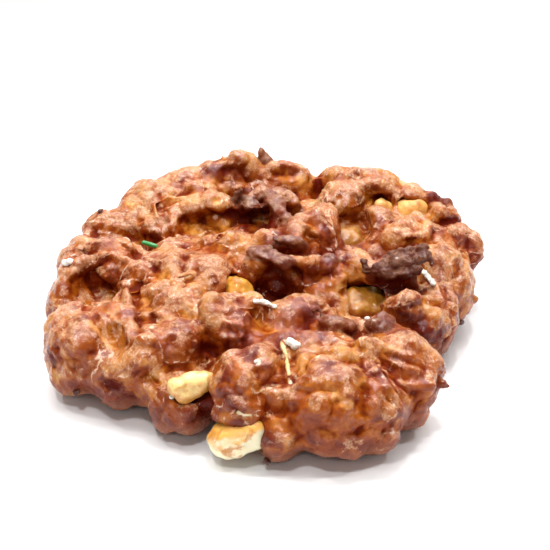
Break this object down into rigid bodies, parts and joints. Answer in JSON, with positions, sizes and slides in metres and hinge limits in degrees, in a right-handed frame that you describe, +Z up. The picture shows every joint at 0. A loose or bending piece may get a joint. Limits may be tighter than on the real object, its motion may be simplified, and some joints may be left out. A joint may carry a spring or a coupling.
{
  "type": "apple fritter",
  "caption": "Large round fried apple fritter: lumpy, knotted dough with deep pits, a long fold along its front edge and diced apple showing at the surface.",
  "frame": {"origin": "bottom centre of the bounding box, on the surface that the fritter rests on", "axes": "+Z up, +X across the width to the right, -Y towards the front, where the long fold of dough is"},
  "size_m": [0.1396, 0.1332, 0.0388],
  "materials": {
    "dough": "browned fried dough under a clear sugar glaze, satin to glossy",
    "apple": "cooked apple, moist and slightly see-through"
  },
  "bodies": {
    "root": {"dough": "dough", "apple_front": "apple", "apple_left": "apple", "apple_deep_pit": "apple", "apple_right_pit": "apple", "apple_far_pit": "apple", "apple_right": "apple", "apple_right_slice": "apple"}
  },
  "joints": []
}
